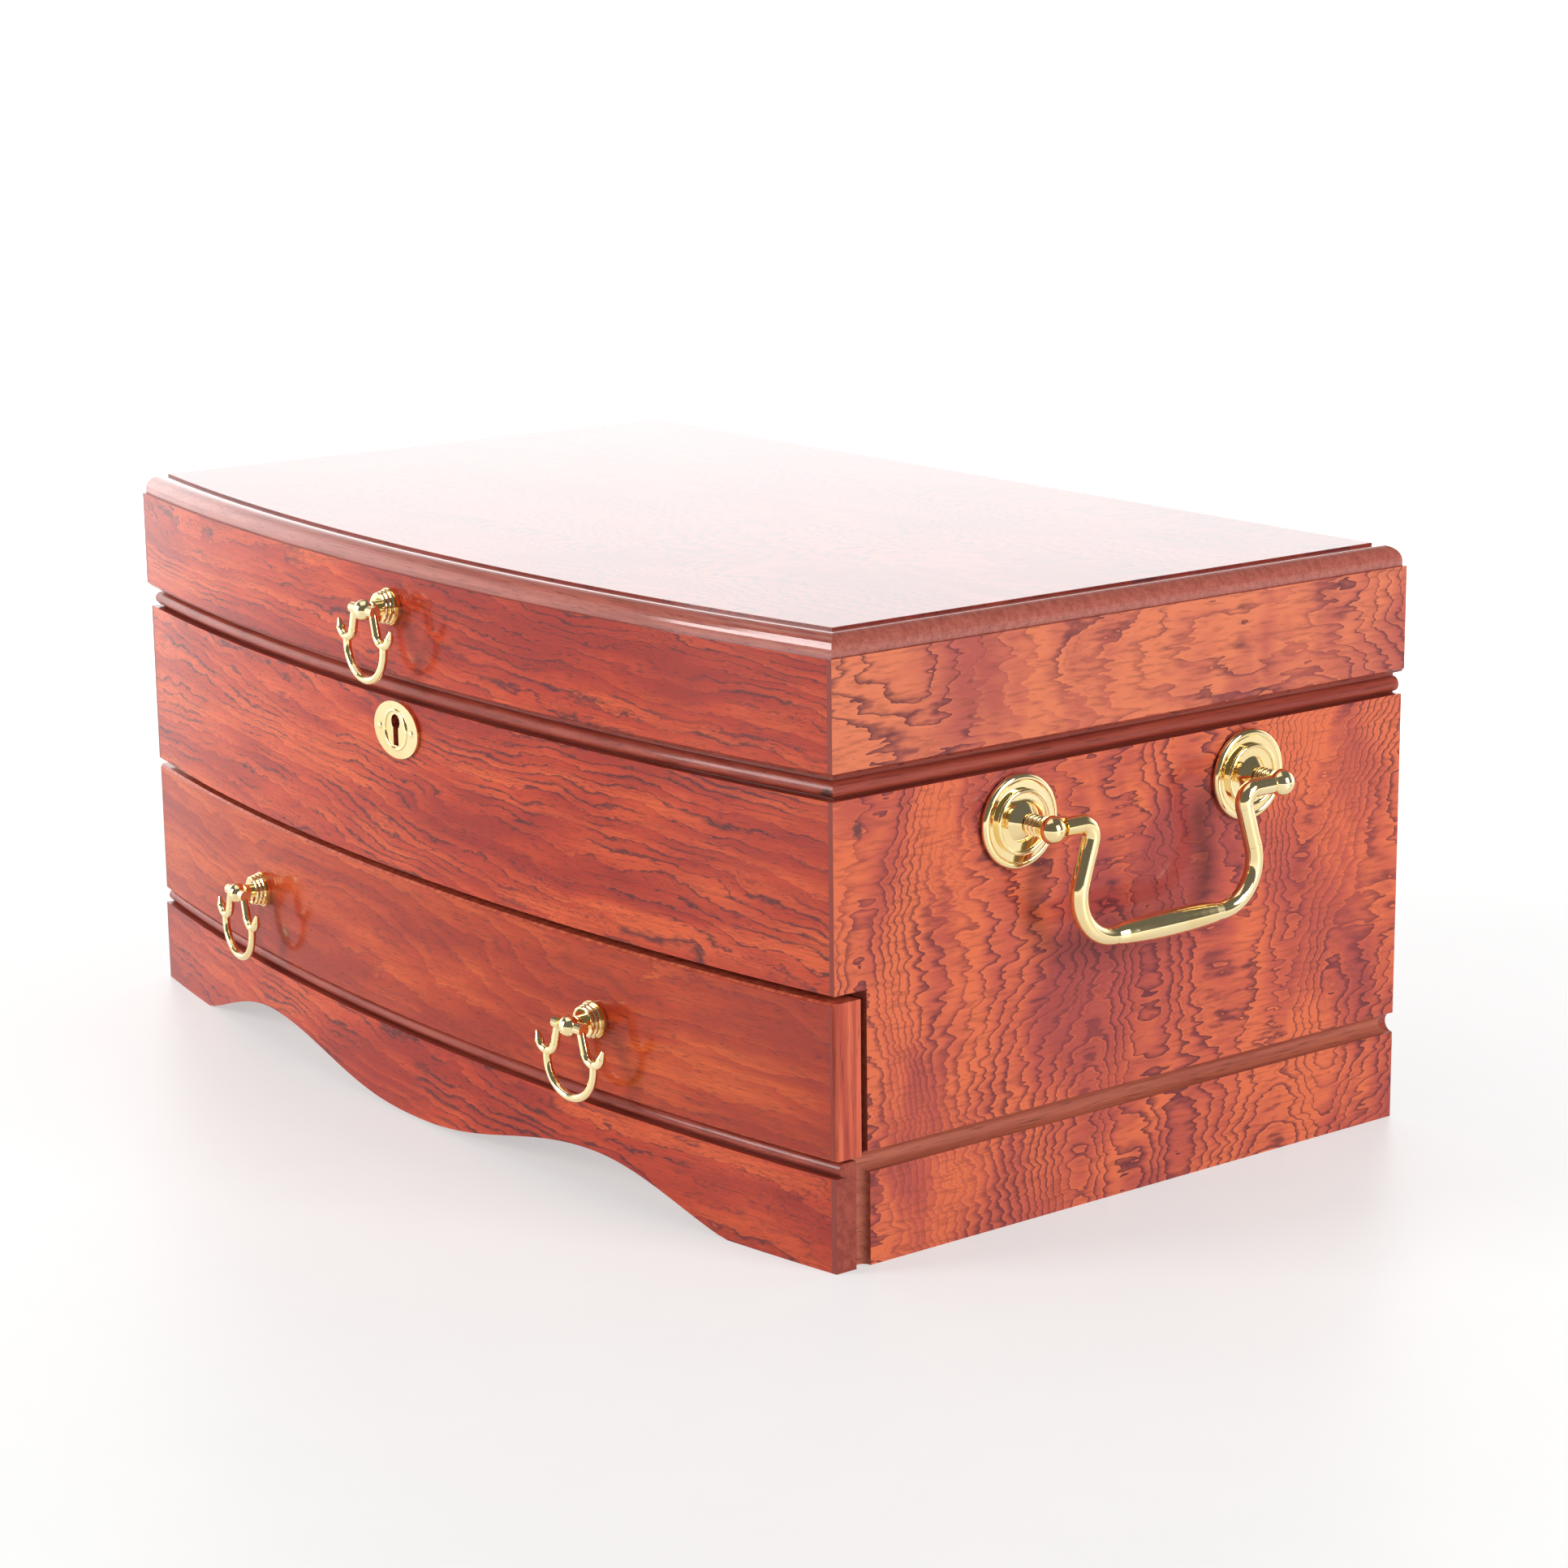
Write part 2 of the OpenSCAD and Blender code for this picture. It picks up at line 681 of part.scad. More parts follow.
// A turned post: stem, beaded neck and ball, with a hole for the handle's pivot on its inner side
module handle_post(inward) {
    neck_r = 2.5;
    difference() {
        turned() {
            translate([0, -stem_l + 0.5]) square([stem_r, stem_l + boss_out]);
            translate([0, boss_out]) square([neck_r, ball_out - boss_out]);
            for (i = [0:2]) translate([neck_r, boss_out + 1 + 1.8 * i]) circle(0.8, $fn = 16);
            translate([0, ball_out]) circle(ball_r);
        }
        translate([0, 0, ball_out]) rotate([0, inward * 90, 0])
            translate([0, 0, ball_r - pivot_l - fit_gap]) cylinder(r = pivot_r, h = pivot_l + 2);
    }
}

module handle_posts(side) {
    color(gold) on_side(side) for (s = [-1, 1]) translate([s * post_half, 0, 0]) handle_post(-s);
}

module left_handle_posts() handle_posts(-1);
module right_handle_posts() handle_posts(1);

// A sleeve over the joint of two stretches of rod
module collar(r) rotate([0, 90, 0]) cylinder(r = r + collar_swell, h = collar_l, center = true);

// A rod along +X through steps of [straight length, bend radius, bend angle], bending to the left
module bent_rod(r, steps, i = 0) {
    if (i < len(steps)) {
        straight = steps[i][0];
        bend_r = steps[i][1];
        turn = steps[i][2];
        left = sign(turn);
        rotate([0, 90, 0]) cylinder(r = r, h = straight);
        translate([straight, 0, 0]) collar(r);
        translate([straight, left * bend_r, 0]) {
            rotate([0, 0, left > 0 ? -90 : 90 + turn]) rotate_extrude(angle = abs(turn))
                translate([bend_r, 0]) circle(r);
            rotate([0, 0, turn]) translate([0, -left * bend_r, 0]) {
                collar(r);
                bent_rod(r, steps, i + 1);
            }
        }
    }
}

// The grip, thickest at its middle
module grip() {
    steps = 12;
    rotate([0, 90, 0]) rotate_extrude() polygon(concat([[0, -grip_half]],
        [for (i = [0:steps]) [bail_r + (grip_r - bail_r) * pow(sin(180 * i / steps), 0.7), grip_half * (2 * i / steps - 1)]],
        [[0, grip_half]]));
}

module handle(side) {
    color(gold) on_side(side) translate([0, 0, ball_out]) {
        for (s = [0, 1]) mirror([s, 0, 0]) {
            translate([bail_start - 1, 0, 0]) rotate([0, 90, 0])
                cylinder(r = pivot_r - fit_gap, h = pivot_l + 1);
            translate([bail_start, 0, 0]) rotate([0, 0, 180])
                bent_rod(bail_r, [[shoulder_l, elbow_r, 90 + lean], [leg_l, lower_r, -90 - lean]]);
        }
        translate([0, -bail_drop, 0]) grip();
    }
}

module left_handle() handle(-1);
module right_handle() handle(1);

// ---- Drop pulls ----

// A base and three stacked beads, each smaller than the one under it
module pull_plate() {
    steps = 8;
    step_in = 0.35;
    beads = [for (i = [0:2]) for (j = [0:steps])
        [pull_plate_r - step_in * (i + 1) - plate_bead_r + plate_bead_r * cos(180 * j / steps - 90),
            plate_base + plate_bead_r * (2 * i + 1 + sin(180 * j / steps - 90))]];
    difference() {
        rotate_extrude() polygon(concat([[0, 0], [pull_plate_r, 0], [pull_plate_r, plate_base]], beads,
            [[0, pull_neck]]));
        translate([0, 0, -1]) cylinder(r = stem_r + fit_gap, h = pull_neck + 2);
    }
}

module pull_post() {
    difference() {
        turned() {
            translate([0, -5.5]) square([stem_r, 5.5 + pull_neck]);
            translate([0, pull_neck]) square([2.4, pull_out - pull_neck]);
            translate([0, pull_out]) circle(pull_head_r);
        }
        for (s = [-1, 1]) translate([0, 0, pull_out]) rotate([0, s * 90, 0])
            translate([0, 0, pull_head_r - pull_pin_l - fit_gap])
                cylinder(r = pull_pin_r + fit_gap, h = pull_pin_l + 2);
    }
}

// A ring under two curled leaves, swinging on pins in the post's head
module pull_ring() {
    eye_x = pull_head_r + 0.2;
    eye_t = 3.2;
    slope = 15;
    leg = 7.4;
    curl = 145;
    tip_l = 3;
    end_a = 8;
    leaf_r = (ring_r * cos(end_a) - eye_x - eye_t / 2 - leg * sin(slope)) / cos(slope);
    leaf_low = -leg * cos(slope) - leaf_r * (1 - sin(slope));
    translate([0, 0, pull_out]) {
        for (s = [0, 1]) mirror([s, 0, 0]) {
            translate([pull_head_r - pull_pin_l, 0, 0]) rotate([0, 90, 0])
                cylinder(r = pull_pin_r, h = pull_pin_l + 1);
            translate([eye_x, 0, 0]) rotate([0, 90, 0]) cylinder(r = eye_r, h = eye_t);
            translate([eye_x + eye_t / 2, 0, 0]) rotate([0, 0, -90 + slope]) {
                bent_rod(wire_r, [[leg, leaf_r, curl]]);
                translate([leg, leaf_r, 0]) rotate([0, 0, curl]) translate([0, -leaf_r, 0])
                    rotate([0, 90, 0]) cylinder(r1 = wire_r, r2 = 0.5, h = tip_l);
            }
        }
        translate([0, leaf_low - ring_r * sin(end_a), 0]) rotate([0, 0, 180 - end_a])
            rotate_extrude(angle = 180 + 2 * end_a) translate([ring_r, 0]) circle(wire_r - 0.1);
    }
}

module lid_pull_plate() color(gold) on_bow(0, lid_pull_z, lid_over) pull_plate();
module lid_pull_post() color(gold) on_bow(0, lid_pull_z, lid_over) pull_post();
module lid_pull_ring() color(gold) on_bow(0, lid_pull_z, lid_over) pull_ring();
module drawer_pull_plates() color(gold) both_pulls() pull_plate();
module drawer_pull_posts() color(gold) both_pulls() pull_post();
module left_pull_ring() color(gold) on_bow(-pull_a, drawer_pull_z) pull_ring();
module right_pull_ring() color(gold) on_bow(pull_a, drawer_pull_z) pull_ring();

// ---- Hinges ----

module hinge_screw_places() {
    for (s = [-1, 1]) translate([s * screw_x, back_y - leaf_w / 2, rim_z]) children();
}

// One leaf, drawn for the case; up = -1 turns it over for the lid. Its knuckles hold the given places of 0 to 2.
// A stop as long as the hinge stands behind them, and meets the other leaf's stop when the lid is fully open.
module leaf(up, knuckles) {
    top = -lid_gap / 2;
    web_in = 0.2;
    stop_t = 1.6;
    stop_gap = 0.03;
    translate([0, hinge_y, hinge_z]) mirror([0, 0, up < 0 ? 1 : 0]) difference() {
        union() {
            slab(-hinge_l / 2, hinge_l / 2, back_y - leaf_w - hinge_y, back_y - hinge_y, top - leaf_t, top);
            for (k = knuckles) translate([-hinge_l / 2 + k * (knuckle_l + knuckle_gap), 0, 0]) {
                rotate([0, 90, 0]) cylinder(r = barrel_r, h = knuckle_l);
                slab(web_in, knuckle_l - web_in, back_y - hinge_y - 0.5, 0, top - leaf_t + 0.1, top - 0.1);
                rotate([-lid_stop / 2, 0, 0])
                    slab(web_in, knuckle_l - web_in, 1.4, barrel_r + 1, 0.1 - stop_t, -0.1);
            }
            rotate([-lid_stop / 2, 0, 0]) slab(web_in / 2 - hinge_l / 2, hinge_l / 2 - web_in / 2,
                barrel_r + knuckle_gap, stop_reach, -stop_t, -stop_gap);
        }
        rotate([0, 90, 0]) cylinder(r = hinge_pin_r + fit_gap, h = 2 * hinge_l, center = true);
        for (s = [-1, 1]) translate([s * screw_x, back_y - leaf_w / 2 - hinge_y, 0]) {
            cylinder(r = screw_r + fit_gap, h = far, center = true);
            translate([0, 0, top - 1]) cylinder(r1 = screw_r + fit_gap, r2 = screw_head_r + fit_gap, h = 1 + eps);
        }
    }
}

module hinge_screw() {
    translate([0, 0, -screw_l]) cylinder(r = screw_r, h = screw_l);
    translate([0, 0, -1]) cylinder(r1 = screw_r, r2 = screw_head_r, h = 1);
}

module hinge_case_leaves() color(gold) both_hinges() leaf(1, [0, 2]);
module hinge_lid_leaves() color(gold) both_hinges() leaf(-1, [1]);

module hinge_pins() {
    color(gold) both_hinges() translate([0, hinge_y, hinge_z]) rotate([0, 90, 0])
        cylinder(r = hinge_pin_r, h = hinge_l, center = true);
}

module hinge_case_screws() color(gold) both_hinges() hinge_screw_places() hinge_screw();

module hinge_lid_screws() {
    color(gold) both_hinges() hinge_screw_places() translate([0, 0, lid_gap]) mirror([0, 0, 1]) hinge_screw();
}

// ---- Lid ----

module rail_block() {
    intersection() {
        along_sides(2 * lid_x) rail_profile();
        slab(-case_w, case_w, front_y - far, back_y, lid_z0, lid_z1);
    }
}

module lid_front_rail() {
    color(rosewood) difference() {
        intersection() {
            along_bow(lid_over) rail_profile();
            lid_front_zone();
        }
        inside_bow(lid_in_inset, lid_z0 - far, lid_z1 + far);
        slab(-link_l / 2 - eps, link_l / 2 + eps, flange_y0 - eps, lock_y1 + far, lid_z0 - far, lid_z0 + flange_t + eps);
        on_bow(0, lid_pull_z, lid_over) translate([0, 0, -6]) cylinder(r = stem_r + fit_gap, h = far);
    }
}

module lid_back_rail() {
    color(mahogany) difference() {
        intersection() {
            rail_block();
            lid_back_zone();
        }
        both_hinges() {
            slab(-hinge_l / 2, hinge_l / 2, back_y - leaf_w, back_y + far, lid_z0 - far, lid_z0 + leaf_t);
            hinge_screw_places() cylinder(r = screw_r + fit_gap, h = lid_gap + screw_l + fit_gap);
        }
    }
}

module lid_side_rail(side) {
    color(rosewood) difference() {
        intersection() {
            rail_block();
            mirror([side < 0 ? 1 : 0, 0, 0]) slab(lid_in_x, case_w, front_y - far, back_y + far, 0, lid_top);
        }
        lid_front_zone();
        lid_back_zone();
    }
}

module lid_left_rail() lid_side_rail(-1);
module lid_right_rail() lid_side_rail(1);

module lid_top_board() {
    color(mahogany) intersection() {
        along_sides(2 * lid_x) edge_profile(edge_raise);
        along_bow(lid_over) edge_profile(0);
        along_back() edge_profile(2 * edge_raise);
    }
}

module lid_veneer() {
    inset = edge_step + edge_r + edge_land;
    color(rosewood) bowed(lid_x - inset, back_y - inset, inset - lid_over, board_top, lid_top);
}

module lid_lining() {
    color(suede) bowed(lid_in_x, lid_in_back, lid_in_inset, lid_z1 - lining_t, lid_z1);
}

module centred(w, d, z0, z1) slab(-w / 2, w / 2, lid_in_mid_y - d / 2, lid_in_mid_y + d / 2, z0, z1);

module mirror_glass() centred(mirror_w, mirror_d, lid_z1 - lining_t - mirror_t, lid_z1 - lining_t);

module lid_mirror() color("#c8d4da") mirror_glass();

module mirror_frame() {
    z1 = lid_z1 - lining_t;
    grow = 2 * (frame_b - frame_lap);
    color(mahogany) difference() {
        centred(mirror_w + grow, mirror_d + grow, z1 - frame_t, z1);
        centred(mirror_w - 2 * frame_lap, mirror_d - 2 * frame_lap, z1 - frame_t - far, z1 + far);
        centred(mirror_w + 2 * fit_gap, mirror_d + 2 * fit_gap, z1 - mirror_t, z1 + far);
    }
}

// ---- Drawer ----

// The front follows the bow, with its long edges eased and its upright corners chamfered
module drawer_front() {
    ease = 0.8;
    chamfer = 1.2;
    color(rosewood) difference() {
        intersection() {
            translate([0, axis_y, 0]) rotate([0, 0, -90 - wedge_a])
                rotate_extrude(angle = 2 * wedge_a, $fn = arc_fn) translate([bow_r - drawer_front_t, 0])
                    polygon([[0, drawer_z0], [drawer_front_t - ease, drawer_z0],
                        [drawer_front_t, drawer_z0 + ease], [drawer_front_t, drawer_z1 - ease],
                        [drawer_front_t - ease, drawer_z1], [0, drawer_z1]]);
            slab(-case_w / 2, case_w / 2, front_y - far, notch_y, 0, rim_z);
        }
        for (s = [-1, 1]) translate([s * case_w / 2, corner_y, rim_z / 2]) rotate([0, 0, 45 - s * 5])
            cube([chamfer * sqrt(2), chamfer * sqrt(2), rim_z], center = true);
        both_pulls() translate([0, 0, -6]) cylinder(r = stem_r + fit_gap, h = far);
    }
}

module drawer_side(side) {
    color(mahogany) mirror([side < 0 ? 1 : 0, 0, 0]) intersection() {
        slab(box_x - drawer_side_t, box_x, front_y - far, box_back, box_z0, box_z1);
        inside_bow(drawer_front_t, 0, rim_z);
    }
}

module drawer_left_side() drawer_side(-1);
module drawer_right_side() drawer_side(1);

module drawer_back() {
    color(mahogany) slab(-box_x + drawer_side_t, box_x - drawer_side_t, box_back - drawer_side_t, box_back,
        box_z0, box_z1);
}

module drawer_board(z0, z1) {
    bowed(box_x - drawer_side_t, box_back - drawer_side_t, drawer_front_t, z0, z1);
}

module drawer_bottom() color(mahogany) drawer_board(box_floor, box_floor + drawer_bottom_t);

module drawer_lining() {
    color(suede) drawer_board(box_floor + drawer_bottom_t, box_floor + drawer_bottom_t + lining_t);
}

left_side_panel();
right_side_panel();
front_panel();
back_panel();
base_apron();
bottom_panel();
drawer_stops();
compartment_floor();
lip_front();
lip_back();
lip_left();
lip_right();
compartment_lining();
long_divider();
front_dividers();
back_dividers();
ring_roll(1);  // ring_roll_1
ring_roll(2);  // ring_roll_2
ring_roll(3);  // ring_roll_3
ring_roll(4);  // ring_roll_4
ring_roll(5);  // ring_roll_5
lock_case();
lock_bolt();
keyhole_plate();
keyhole_pins();
hinge_case_leaves();
hinge_pins();
hinge_case_screws();
left_rosettes();
right_rosettes();
left_handle_posts();
right_handle_posts();
left_handle();
right_handle();
lid_front_rail();
lid_back_rail();
lid_left_rail();
lid_right_rail();
lid_top_board();
lid_veneer();
lid_lining();
lid_mirror();  // mirror
mirror_frame();
link_plate();
hinge_lid_leaves();
hinge_lid_screws();
lid_pull_plate();
lid_pull_post();
lid_pull_ring();
drawer_front();
drawer_left_side();
drawer_right_side();
drawer_back();
drawer_bottom();
drawer_lining();
drawer_pull_plates();
drawer_pull_posts();
left_pull_ring();
right_pull_ring();
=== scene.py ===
"""A bow-fronted jewellery chest in glossy red veneer with polished brass hardware, on a pale floor."""
import json
import math

import bmesh
import bpy
from mathutils import Matrix, Vector

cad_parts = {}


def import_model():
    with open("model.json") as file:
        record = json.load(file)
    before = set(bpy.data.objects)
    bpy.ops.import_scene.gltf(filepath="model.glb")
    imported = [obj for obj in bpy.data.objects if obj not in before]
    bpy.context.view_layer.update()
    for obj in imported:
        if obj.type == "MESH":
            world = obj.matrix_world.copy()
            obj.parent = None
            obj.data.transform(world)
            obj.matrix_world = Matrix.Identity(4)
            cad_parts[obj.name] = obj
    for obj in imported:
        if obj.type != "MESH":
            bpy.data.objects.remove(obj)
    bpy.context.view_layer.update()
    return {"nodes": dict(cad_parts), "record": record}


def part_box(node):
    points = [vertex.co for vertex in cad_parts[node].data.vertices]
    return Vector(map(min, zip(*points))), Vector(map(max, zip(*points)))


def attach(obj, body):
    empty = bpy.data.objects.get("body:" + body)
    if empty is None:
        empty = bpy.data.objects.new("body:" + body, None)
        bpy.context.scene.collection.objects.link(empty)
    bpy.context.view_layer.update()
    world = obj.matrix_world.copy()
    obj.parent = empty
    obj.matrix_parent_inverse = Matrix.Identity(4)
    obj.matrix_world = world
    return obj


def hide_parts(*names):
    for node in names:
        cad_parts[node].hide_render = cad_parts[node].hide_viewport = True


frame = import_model()
NODES = frame["nodes"]
MM = 0.001

# ---- Where things are, from the frame ----

SIDE_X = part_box("right_side_panel")[1].x
CORNER_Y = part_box("right_side_panel")[0].y
FRONT_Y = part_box("front_panel")[0].y
BOW = CORNER_Y - FRONT_Y
BOW_R = (BOW ** 2 + SIDE_X ** 2) / (2 * BOW)
BOW_AXIS_Y = FRONT_Y + BOW_R
RIM_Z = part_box("front_panel")[1].z
LID_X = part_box("lid_right_rail")[1].x
LID_OVER = LID_X - SIDE_X
BEAD_H = 7 * MM
BEAD_Z = RIM_Z - BEAD_H
LID_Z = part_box("lid_front_rail")[0].z


# ---- Node helpers ----

class Shader:
    """Builds one material's node tree, in object coordinates (the row frame, in metres)."""

    def __init__(self, name):
        self.material = bpy.data.materials.new(name)
        self.material.use_nodes = True
        self.tree = self.material.node_tree
        self.surface = self.tree.nodes["Principled BSDF"]
        self.place = self.tree.nodes.new("ShaderNodeTexCoord").outputs["Object"]

    def node(self, kind, **settings):
        made = self.tree.nodes.new("ShaderNode" + kind)
        for key, value in settings.items():
            setattr(made, key, value)
        return made

    def put(self, value, socket):
        if isinstance(value, bpy.types.NodeSocket):
            self.tree.links.new(value, socket)
        else:
            socket.default_value = value

    def math(self, operation, *values):
        made = self.node("Math", operation=operation)
        for value, socket in zip(values, made.inputs):
            self.put(value, socket)
        return made.outputs[0]

    def scaled(self, factors, offset):
        """The place times factors, plus offset."""
        made = self.node("VectorMath", operation="MULTIPLY_ADD")
        self.put(self.place, made.inputs[0])
        made.inputs[1].default_value = factors
        made.inputs[2].default_value = offset
        return made.outputs[0]

    def dot(self, direction):
        """How far the place lies along a direction, times the direction's length."""
        made = self.node("VectorMath", operation="DOT_PRODUCT")
        self.put(self.place, made.inputs[0])
        made.inputs[1].default_value = direction
        return made.outputs["Value"]

    def length(self, vector):
        made = self.node("VectorMath", operation="LENGTH")
        self.put(vector, made.inputs[0])
        return made.outputs["Value"]

    def axes(self):
        made = self.node("SeparateXYZ")
        self.put(self.place, made.inputs[0])
        return made.outputs

    def noise(self, factors, seed=0.0, detail=2.0, rough=0.5, distortion=0.0):
        """Noise from 0 to 1 that has factors cells per metre along X, Y and Z."""
        made = self.node("TexNoise")
        offset = (seed * 3.1, seed * 5.7, seed * 7.9)
        self.put(self.scaled(factors, offset), made.inputs["Vector"])
        made.inputs["Scale"].default_value = 1.0
        made.inputs["Detail"].default_value = detail
        made.inputs["Roughness"].default_value = rough
        made.inputs["Distortion"].default_value = distortion
        return made.outputs["Fac"]

    def band(self, value, low, high):
        """A smooth step from 0 below low to 1 above high; low may be above high."""
        made = self.node("MapRange", interpolation_type="SMOOTHSTEP")
        self.put(value, made.inputs["Value"])
        if low <= high:
            made.inputs["From Min"].default_value = low
            made.inputs["From Max"].default_value = high
            return made.outputs[0]
        made.inputs["From Min"].default_value = high
        made.inputs["From Max"].default_value = low
        made.inputs["To Min"].default_value = 1
        made.inputs["To Max"].default_value = 0
        return made.outputs[0]

    def mix(self, amount, a, b):
        made = self.node("Mix", data_type="RGBA")
        self.put(amount, made.inputs[0])
        self.put(a, made.inputs[6])
        self.put(b, made.inputs[7])
        return made.outputs[2]

    def ramp(self, value, *stops):
        made = self.node("ValToRGB")
        self.put(value, made.inputs[0])
        elements = made.color_ramp.elements
        while len(elements) < len(stops):
            elements.new(0.5)
        for element, (at, color) in zip(elements, stops):
            element.position = at
            element.color = (*color, 1)
        return made.outputs[0]

    def bump(self, height, distance, strength=1.0):
        made = self.node("Bump")
        made.inputs["Distance"].default_value = distance
        made.inputs["Strength"].default_value = strength
        self.put(height, made.inputs["Height"])
        self.put(made.outputs[0], self.surface.inputs["Normal"])

    def set(self, **values):
        """Sets the surface's sockets; an underscore stands for a space in a socket's name."""
        for key, value in values.items():
            self.put(value, self.surface.inputs[key.replace("_", " ")])


def rgb(red, green, blue):
    return (red, green, blue, 1)


# ---- Wood ----

DARK_LINE = rgb(0.042, 0.005, 0.010)
SIDE_LINE = rgb(0.075, 0.012, 0.022)
MOULDING = rgb(0.22, 0.032, 0.020)
MOULDING_LIGHT = rgb(0.33, 0.062, 0.038)
# The cove's colours are the moulding's stained wood painted lighter, as painted light where the cove
# faces up to the lamps.
COVE_PAINTED_LIT = rgb(0.29, 0.066, 0.040)
COVE_PAINTED_LIT_LIGHT = rgb(0.40, 0.110, 0.064)
# The lid top board's quarter round is the moulding's wood painted lighter, as painted light from above.
QUARTER_ROUND_PAINTED_LIT = rgb(0.30, 0.066, 0.046)
QUARTER_ROUND_PAINTED_LIT_LIGHT = rgb(0.40, 0.105, 0.072)
DRAWER_END = rgb(0.36, 0.045, 0.026)
DRAWER_END_LIGHT = rgb(0.62, 0.130, 0.062)
WOOD_PORE = rgb(0.03, 0.008, 0.006)
# Painted shade flecks along the lid's lower edge.
EDGE_SHADE_FLECK = rgb(0.035, 0.014, 0.012)
# Painted shade at the right front corner, under the lid.
CORNER_PAINTED_SHADE = rgb(0.02, 0.014, 0.012)
SIDE_MARK = rgb(0.07, 0.026, 0.034)

X_AXIS, Y_AXIS, Z_AXIS = (1, 0, 0), (0, 1, 0), (0, 0, 1)

# Each tone is the veneer's warm, middle and deep colour.
FRONT_TONE = ((0.60, 0.086, 0.020), (0.45, 0.040, 0.010), (0.30, 0.016, 0.007))
DRAWER_TONE = ((0.56, 0.085, 0.014), (0.42, 0.042, 0.008), (0.31, 0.022, 0.006))
# The sides' burl colour, with raised green and blue as a painted sheen standing for the side light's
# haze.
SIDE_TONE_AND_SHEEN = ((0.62, 0.128, 0.050), (0.46, 0.080, 0.046), (0.33, 0.052, 0.045))
LID_SIDE_TONE = ((0.60, 0.155, 0.070), (0.47, 0.105, 0.062), (0.37, 0.070, 0.054))
# Painted shade: the lid top's rosewood is toned darker than the same wood on the fronts, to hold down the
# strong light from above.
SHADED_TOP_TONE = ((0.27, 0.040, 0.022), (0.23, 0.030, 0.017), (0.19, 0.022, 0.014))

RINGS_PER_M = 260         # growth lines across the fronts' grain
GRAIN_SLANT = 0.10        # rise of the fronts' grain
PORE_DEPTH = 0.04 * MM
PORE_STRENGTH = 0.25
CORNER_STRIP = 1.6 * MM   # width of the brown strip at an upright corner
EDGE_SHADE_REACH = 1.8 * MM     # height of the painted shade flecks over the lid's lower edge


def lacquer(s, gloss=0.5, ior=1.4):
    s.set(Roughness=0.42, Coat_Weight=gloss, Coat_Roughness=0.10, Coat_IOR=ior, Specular_IOR_Level=0.10)


def contour(s, height, width):
    """Thin lines where height passes whole numbers; width is a socket or a share of the spacing."""
    distance = s.math("PINGPONG", height, 0.5)
    return s.math("SUBTRACT", 1.0, s.math("SMOOTH_MIN", s.math("DIVIDE", distance, width), 1.0, 0.3))


def ring(s, height, width):
    """Growth rings: 0 just past each whole number, darkening over the last width to a sharp edge."""
    phase = s.math("FRACT", height)
    past = s.math("SUBTRACT", s.math("ADD", phase, width), 1.0)
    return s.math("MAXIMUM", s.math("DIVIDE", past, width), 0.0)


def grain_cells(along, up):
    """A function that turns cells per metre along and across the grain into cells along X, Y and Z."""
    def cells(a, u):
        return tuple(a * along[i] + u * up[i] for i in range(3))

    return cells


def streaked(s, along, up, seed, tone, lines):
    """Veneer with flowing grain: along and up are unit vectors for the grain and across it."""
    cells = grain_cells(along, up)
    across = s.dot(tuple(RINGS_PER_M * (up[i] + GRAIN_SLANT * along[i]) for i in range(3)))
    drift = s.noise(cells(6, 22), seed, 1.5)
    wave = s.noise(cells(34, 80), seed + 1, 2.5, 0.6)
    ragged = s.noise(cells(240, 900), seed + 2, 2)
    height = s.math("MULTIPLY_ADD", drift, 13.0, across)
    height = s.math("MULTIPLY_ADD", wave, 3.2, height)
    height = s.math("MULTIPLY_ADD", ragged, 0.75, height)
    width = s.math("MULTIPLY_ADD", s.noise(cells(30, 150), seed + 3, 2), 0.95, -0.33)
    width = s.math("MAXIMUM", width, 0.012)
    main = contour(s, height, width)
    main = s.math("MULTIPLY", main, s.band(s.noise(cells(20, 90), seed + 4, 2), 0.36, 0.56))
    fine = contour(s, s.math("MULTIPLY_ADD", height, 3.1, 0.37), 0.16)
    fine = s.math("MULTIPLY", fine, s.band(s.noise(cells(26, 170), seed + 5, 1), 0.38, 0.66))
    pores = s.band(s.noise(cells(190, 2800), seed + 6, 1), 0.60, 0.70)
    figure = s.noise(cells(10, 55), seed + 7, 3, 0.55)
    fibre = s.noise(cells(50, 1700), seed + 8, 2)
    warm, middle, deep = tone
    fall = s.math("FRACT", s.math("MULTIPLY", height, 0.5))
    shade = s.math("MULTIPLY_ADD", fall, -0.16, s.math("ADD", figure, 0.08))
    color = s.ramp(shade, (0.34, deep), (0.50, middle), (0.66, warm))
    dim = rgb(*(0.55 * c for c in middle))
    color = s.mix(s.math("MULTIPLY", s.band(fibre, 0.35, 0.75), 0.4), color, dim)
    color = s.mix(s.math("MULTIPLY", pores, 0.6), color, DARK_LINE)
    color = s.mix(s.math("MULTIPLY", fine, 0.55 * lines), color, DARK_LINE)
    color = s.mix(s.math("MULTIPLY", main, 0.9 * lines), color, DARK_LINE)
    s.bump(s.math("SUBTRACT", fibre, pores), PORE_DEPTH, PORE_STRENGTH)
    return color


